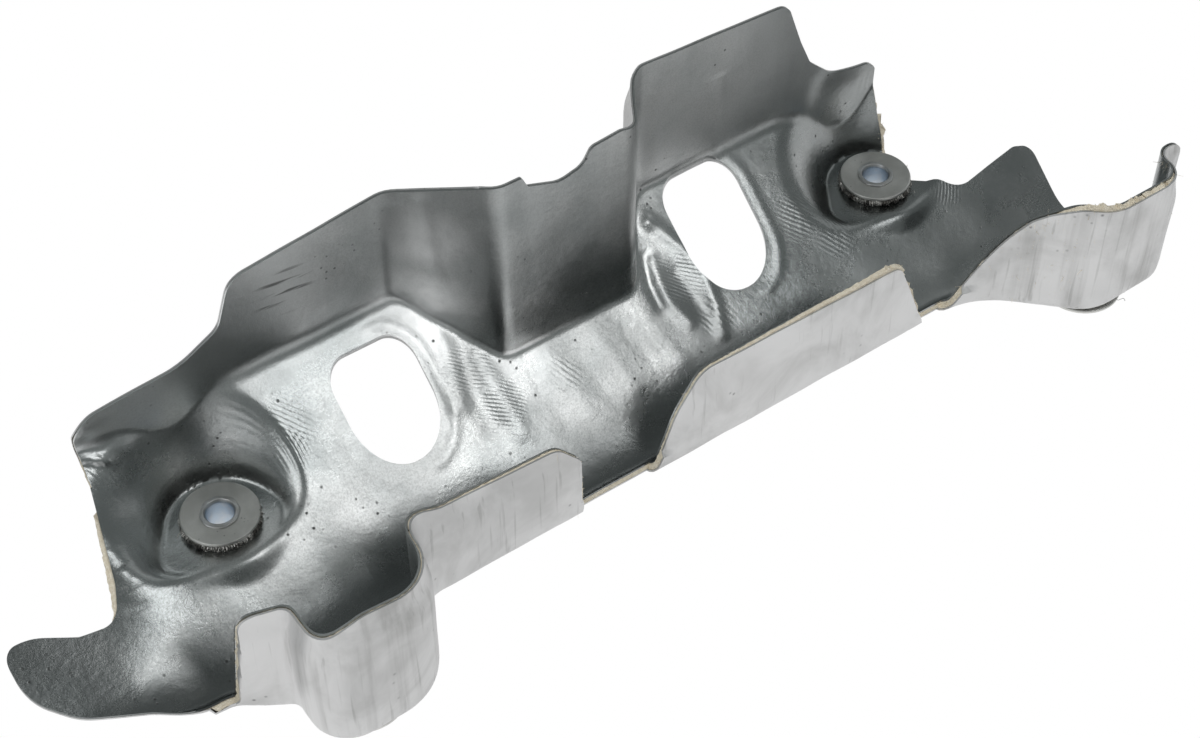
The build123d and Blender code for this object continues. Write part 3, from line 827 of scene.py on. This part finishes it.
def turned(name, corners, steps):
    """A ring turned on a lathe: a closed profile of (radius, z, rounding), spun round Z."""
    profile = with_arcs(corners, closed=True, steps=3)
    profile = profile[np.linalg.norm(profile - np.roll(profile, 1, axis=0), axis=1) > 1e-3]
    deselect()
    bpy.ops.mesh.primitive_circle_add(vertices=len(profile), fill_type="NOTHING")
    piece = bpy.context.object
    piece.name = name
    moved(piece, np.c_[profile[:, 0], np.zeros(len(profile)), profile[:, 1]])
    edit_all()
    bpy.ops.mesh.spin(steps=steps, angle=math.tau, center=(0, 0, 0), axis=(0, 0, 1))
    bpy.ops.mesh.select_all(action="SELECT")
    bpy.ops.mesh.remove_doubles(threshold=1e-6)
    edited()
    finished(piece, angle=35)
    return piece


def copied(source, name, points):
    """A copy with its own mesh and its own places for the vertices."""
    piece = source.copy()
    piece.data = source.data.copy()
    piece.name = name
    bpy.context.collection.objects.link(piece)
    moved(piece, points)
    return piece


def mark_rings(piece):
    """Stores each vertex's distance from Z, for marks that run round the piece."""
    points = points_of(piece)
    ring = piece.data.attributes.new("ring", "FLOAT", "POINT")
    ring.data.foreach_set("value", np.hypot(points[:, 0], points[:, 1]))


def place_at_mounts(source, node, base_heights, uneven=0.0):
    """Moves the piece, made on Z, to the first mount and copies of it to the others."""
    points = points_of(source)
    for number, (x, y, pad) in enumerate(mounts, 1):
        angle = random.uniform(0, math.tau)
        around = np.arctan2(points[:, 1], points[:, 0])
        radius = np.hypot(points[:, 0], points[:, 1])
        lip = smooth_step((radius - tube_radius) / 0.8) * (points[:, 2] > 0.5 * stack)
        radius = radius - uneven * lip * (0.5 + 0.5 * np.sin(3 * around + angle) * np.cos(5 * around))
        height = points[:, 2] - 0.6 * uneven * lip * (0.5 + 0.5 * np.sin(4 * around + 2 * angle))
        placed = np.c_[x + radius * np.cos(around + angle), y + radius * np.sin(around + angle),
                       height + base_heights + pad - pad_z]
        piece = copied(source, f"{node}_{number}", placed)
        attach(piece, "root")
        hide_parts(f"mount_{number}_{node}")
    bpy.data.meshes.remove(source.data)


zinc, shader, place = new_material("zinc_plated_sleeve")
ring = place.node("ShaderNodeAttribute", {"attribute_name": "ring"}, output=2)
inside = 1 - ring.band(4.45, 4.7)
grain = place.noise(260, 4, 0.6)
colour = inside.mixed((0.46, 0.46, 0.45, 1), (0.44, 0.52, 0.60, 1))
join(shader, "Base Color", grain.band(0.35, 0.8).mixed(colour, (0.60, 0.62, 0.64, 1)))
join(shader, "Metallic", 0.95)
join(shader, "Roughness", 0.28 + 0.25 * grain)
bumped(shader, grain + place.noise(90, 2), 0.5, 0.0003)

sleeve = turned("sleeve", [
    (bore, 0, 0), (flare, 0, 0.3), (flare, flare_thickness, 0.3), (tube_radius, flare_thickness, 0),
    (tube_radius, stack - flare_thickness, 0), (flare, stack - flare_thickness, 0.25),
    (flare, stack, 0.5), (bore + 0.6, stack, 0.4), (bore, stack - 1.2, 1.0)], 64)
mark_rings(sleeve)
dressed(sleeve, zinc)
place_at_mounts(sleeve, "sleeve", 0.0, uneven=0.4)


# Washers: blanked steel washers, one over and a wider one under each mount, satin with faint
# turning marks and a slightly dished face.
washer_steel, shader, place = new_material("satin_washer_steel")
ring = place.node("ShaderNodeAttribute", {"attribute_name": "ring"}, output=2)
lines = (ring * 9).maths("SINE") * 0.5 + (ring * 23).maths("SINE") * 0.5
worn = place.noise(90, 4, 0.6)
specks = place.specks(600, 160, (0.06, 0.2), (0.5, 0.62))
colour = worn.band(0.3, 0.75).mixed((0.52, 0.52, 0.50, 1), (0.68, 0.68, 0.66, 1))
join(shader, "Base Color", (specks * 0.8).mixed(colour, grey(0.08)))
join(shader, "Metallic", 0.95)
join(shader, "Roughness", 0.36 + 0.16 * worn)
bumped(shader, lines * 0.25 + place.noise(500, 3), 0.16, 0.0002)

for side, radius, height in (("upper", 12.6, stack - flare_thickness - washer_thickness),
                             ("lower", 14.5, flare_thickness)):
    washer = turned(side + "_washer", [
        (tube_radius + 0.1, 0, 0.2), (radius, 0, 0.35), (radius, washer_thickness, 0.45),
        (radius - 1.6, washer_thickness - 0.08, 3), (flare + 0.6, washer_thickness - 0.05, 2),
        (tube_radius + 0.1, washer_thickness, 0.2)], 96)
    mark_rings(washer)
    dressed(washer, washer_steel)
    place_at_mounts(washer, side + "_washer", height)


# Wire mesh rings: knitted stainless wire pressed into a ring, over and under the sheets, which
# lets the shield shake without a rattle. Dark core, with wires wound round it both ways.
mesh_wire, shader, place = new_material("dark_knitted_wire")
stained = place.noise(300, 3)
colour = stained.band(0.35, 0.6).mixed((0.16, 0.15, 0.14, 1), (0.66, 0.65, 0.62, 1))
join(shader, "Base Color", colour)
join(shader, "Metallic", 0.95)
join(shader, "Roughness", 0.38)


def wire(name, path, radius, sides, closed):
    """A round wire along a path in millimetres: a grid rolled up round the path."""
    count = len(path)
    deselect()
    bpy.ops.mesh.primitive_grid_add(x_subdivisions=count - 1 + closed, y_subdivisions=sides, size=2)
    piece = bpy.context.object
    piece.name = name
    flat = points_of(piece) / 1000
    i = np.rint((flat[:, 0] + 1) / 2 * (count - 1 + closed)).astype(int) % count
    angle = np.rint((flat[:, 1] + 1) / 2 * sides) / sides * math.tau
    ahead = np.roll(path, -1, axis=0) - np.roll(path, 1, axis=0) if closed else np.gradient(path, axis=0)
    ahead = ahead / np.linalg.norm(ahead, axis=1)[:, None]
    across = np.cross(ahead, (0.31, 0.17, 0.93))
    across = across / np.linalg.norm(across, axis=1)[:, None]
    over = np.cross(ahead, across)
    spokes = across[i] * np.cos(angle)[:, None] + over[i] * np.sin(angle)[:, None]
    moved(piece, path[i] + radius * spokes)
    edit_all()
    bpy.ops.mesh.remove_doubles(threshold=2e-6)
    if not closed:
        bpy.ops.mesh.select_all(action="DESELECT")
        bpy.ops.mesh.select_non_manifold()
        bpy.ops.mesh.edge_face_add()
    edited()
    finished(piece, angle=80)
    return piece


def joined(name, pieces):
    """The pieces as one, under the name."""
    deselect()
    for piece in pieces:
        piece.select_set(True)
    bpy.context.view_layer.objects.active = pieces[0]
    bpy.ops.object.join()
    pieces[0].name = name
    return pieces[0]


core = turned("mesh_core", [(6.5, 0.3, 0.8), (11.6, 0.3, 0.9), (11.6, mesh_thickness - 0.3, 0.9),
                            (6.5, mesh_thickness - 0.3, 0.8)], 72)
strands = [core]
turns, points_per_turn, strand_radius = 46, 9, 0.17
for k in range(5):
    along_ring = np.arange(turns * points_per_turn) / (turns * points_per_turn) * math.tau
    windings = turns if k % 2 else -turns - 3
    round_core = windings * along_ring + 1.3 * k + 0.35 * np.sin(7 * along_ring + k)
    lift, push_out = np.sin(round_core), np.cos(round_core)
    wobble = 0.16 * np.sin(23 * along_ring + 2 * k) + 0.1 * np.sin(61 * along_ring + k)
    radius = 9.6 + (3.2 + 2 * wobble) * np.sign(push_out) * np.abs(push_out) ** 0.7
    half = mesh_thickness / 2
    height = half + (half - strand_radius - 0.02) * np.sign(lift) * np.abs(lift) ** 0.8
    path = np.c_[radius * np.cos(along_ring), radius * np.sin(along_ring), height]
    strands.append(wire(f"mesh_strand_{k}", path, radius=strand_radius, sides=4, closed=True))
mesh_ring = joined("mesh_ring", strands)
dressed(mesh_ring, mesh_wire)
second = copied(mesh_ring, "mesh_ring_second", points_of(mesh_ring))
place_at_mounts(mesh_ring, "upper_mesh_ring", pad_z + seat_gap)
place_at_mounts(second, "lower_mesh_ring", flare_thickness + washer_thickness)


# Loose wire: cut ends of the knitted stainless wire, 0.2 mm thick, that curl out of the rings at
# all four mounts. They hang on the rings and are made one by one, each a wire along a spiral.
def curl(name, start, heading, length, loops, size):
    """A springy end of wire from start, which curls as it goes."""
    share = np.linspace(0, 1, 40)[:, None]
    heading = np.array(heading, float) / np.linalg.norm(heading)
    side = np.cross(heading, (0, 0, 1))
    side = side / np.linalg.norm(side)
    other = np.cross(heading, side)
    sweep = loops * math.tau * share
    path = np.array(start, float) + heading * length * share + size * share * (
        side * np.sin(sweep) + other * (1 - np.cos(sweep)))
    piece = wire(name, path, radius=0.1, sides=5, closed=False)
    dressed(piece, mesh_wire)
    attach(piece, "root")


rim_z = pad_z + seat_gap + mesh_thickness
low_z = shelf_z - sandwich - seat_gap
for k, (start, heading, length, loops, size) in enumerate((
        ((-2.5, 12.3, rim_z - 0.6), (0.35, 0.5, 0.75), 3.6, 1.0, 1.0),
        ((-0.5, 12.4, rim_z - 0.4), (-0.3, 0.8, 0.5), 2.4, 0.8, 1.3),
        ((-12.5, 1.5, rim_z - 1.2), (-0.9, 0.1, 0.3), 1.6, 0.6, 0.8),
        ((mount_2_x + 7, -10.6, rim_z - 2.0), (0.6, -0.7, 0.1), 2.2, 1.2, 0.9),
        ((mount_2_x + 12.3, -1.5, rim_z - 1.4), (0.9, -0.2, 0.5), 2.0, 0.9, 1.0),
        ((mount_3_x + 3, low_mount_y - 12.2, low_z - 1.6), (0.5, -0.8, -0.3), 5.0, 1.6, -0.9),
        ((mount_3_x + 5.5, low_mount_y - 11.2, low_z - 1.2), (0.8, -0.5, -0.25), 4.5, 1.1, -0.8),
        ((mount_3_x - 1, low_mount_y - 12.3, low_z - 2.2), (0.1, -0.9, -0.2), 2.6, 0.8, 0.6),
        ((mount_4_x + 6, low_mount_y - 10.8, low_z - 1.5), (0.6, -0.7, -0.2), 1.8, 0.7, 0.8))):
    curl(f"loose_wire_{k}", start, heading, length, loops, size)


# Floor and light: a white studio table; a small soft box high at the photographer's side, which
# lights up the left half of the slope; one at each end of the shield; and one overhead that only the
# felt and other dull surfaces show, as metal doesn't mirror it.
def lit_white(material, shader):
    """White for the camera, in reflections and through glass, and the plain shader for other light."""
    tree = material.node_tree
    white = tree.nodes.new("ShaderNodeEmission")
    white.inputs["Color"].default_value = (1, 1, 1, 1)
    path = tree.nodes.new("ShaderNodeLightPath")
    seen = Socket(tree, path.outputs["Is Camera Ray"])
    for ray in ("Is Glossy Ray", "Is Transmission Ray"):
        seen = seen.at_least(Socket(tree, path.outputs[ray]))
    mix = tree.nodes.new("ShaderNodeMixShader")
    tree.links.new(seen.out, mix.inputs[0])
    tree.links.new(shader.outputs[0], mix.inputs[1])
    tree.links.new(white.outputs[0], mix.inputs[2])
    out = next(node for node in tree.nodes if node.type == "OUTPUT_MATERIAL")
    tree.links.new(mix.outputs[0], out.inputs[0])


deselect()
floor_z = cad_box[0][2] - 0.0002
bpy.ops.mesh.primitive_plane_add(size=6, location=(0.12, 0, floor_z))
floor = bpy.context.object
floor.name = "studio_floor"
floor_material, shader, _ = new_material("studio_floor_white")
join(shader, "Base Color", grey(0.86))
join(shader, "Roughness", 0.9)
join(shader, "Specular IOR Level", 0.1)
lit_white(floor_material, shader)
dressed(floor, floor_material)


def soft_box(name, direction, distance, size, power, in_metal=True):
    """A rectangular lamp that faces the shield. Metal mirrors it where in_metal is true."""
    target = Vector((0.12, -0.02, 0.02))
    bpy.ops.object.light_add(type="AREA", location=target + Vector(direction).normalized() * distance)
    lamp = bpy.context.object
    lamp.name = name
    lamp.data.shape = "RECTANGLE"
    lamp.data.size, lamp.data.size_y = size
    lamp.data.energy = power
    lamp.visible_glossy = in_metal
    lamp.rotation_mode = "QUATERNION"
    lamp.rotation_quaternion = (target - lamp.location).to_track_quat("-Z", "Y")


soft_box("key_box", (0.27, -0.6, 0.73), 1.6, (0.5, 0.6), 2.35)
soft_box("right_box", (0.85, 0.1, 0.6), 1.7, (1.0, 1.0), 1)
soft_box("left_box", (-0.8, -0.1, 0.6), 1.7, (1.2, 1.2), 6)
soft_box("felt_box", (0, -0.5, 1), 1.6, (1.2, 1.2), 9, False)

world = bpy.data.worlds.new("studio")
bpy.context.scene.world = world
world.use_nodes = True
tree = world.node_tree
tree.nodes.clear()
output = tree.nodes.new("ShaderNodeOutputWorld")
fill = tree.nodes.new("ShaderNodeBackground")
fill.inputs["Color"].default_value = (0.93, 1, 0.99, 1)
fill.inputs["Strength"].default_value = 0.22
tree.links.new(fill.outputs[0], output.inputs[0])
bpy.context.scene.view_settings.view_transform = "Standard"

bpy.context.view_layer.update()
